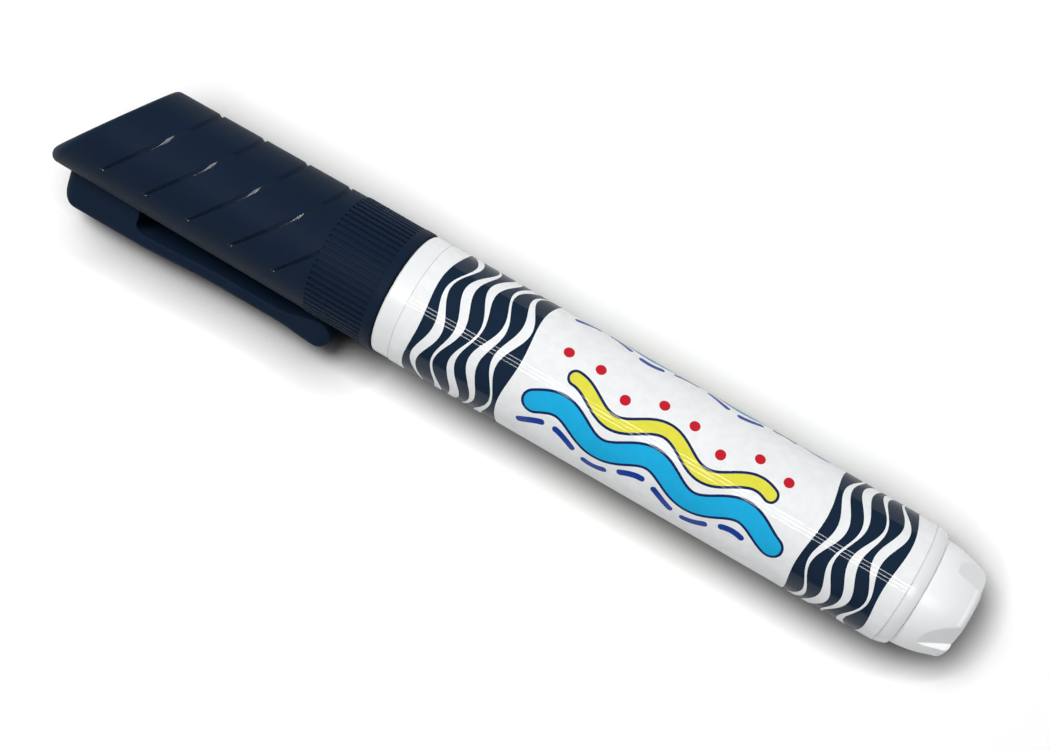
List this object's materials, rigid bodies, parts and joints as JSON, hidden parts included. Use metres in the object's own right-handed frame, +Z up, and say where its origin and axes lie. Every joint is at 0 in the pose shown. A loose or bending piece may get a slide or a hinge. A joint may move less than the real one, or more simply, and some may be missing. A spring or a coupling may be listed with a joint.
{
  "type": "dry-wipe board marker",
  "caption": "Capped dry-wipe board marker: tubular barrel with printed film, slanted black cap with ribbed collar and sprung pocket clip, chisel fibre nib, ink core and pressed-in end plug.",
  "frame": {"origin": "on the surface that the marker lies on, under the middle of its box", "axes": "+X along the marker towards the end plug, +Z up, cap at -X, clip towards -Y and down so that it touches the surface"},
  "size_m": [0.1316, 0.0204, 0.0169],
  "materials": {
    "barrel_plastic": "glossy white moulded polypropylene",
    "label_film": null,
    "plug_plastic": "satin white moulded polypropylene",
    "holder_plastic": "satin white moulded polypropylene",
    "nib_fibre": "bonded fibre, soaked in black ink",
    "core_fibre": "soft fibre bundle, soaked in black ink",
    "wrap_film": "thin clear film",
    "cap_plastic": "satin black moulded polypropylene with a fine spark texture",
    "liner_plastic": "natural moulded polyethylene"
  },
  "bodies": {
    "barrel": {"barrel": "barrel_plastic", "label_film": "label_film", "end_plug": "plug_plastic", "nib_holder": "holder_plastic", "nib": "nib_fibre", "ink_reservoir": "core_fibre", "reservoir_wrap": "wrap_film"},
    "cap": {"cap_shell": "cap_plastic", "cap_liner": "liner_plastic"},
    "clip": {"clip": "cap_plastic"}
  },
  "joints": [
    {"name": "cap_pull", "type": "slide", "parent": "barrel", "child": "cap", "axis": [-1, 0, 0], "range_m": [0, 0.05]},
    {"name": "clip_flex", "type": "hinge", "parent": "cap", "child": "clip", "pos_m": [-0.052, -0.00829, 0.00259], "axis": [0, 0.5028, -0.8644], "range_deg": [0, 5], "stiffness_Nm_per_rad": 1.5}
  ]
}
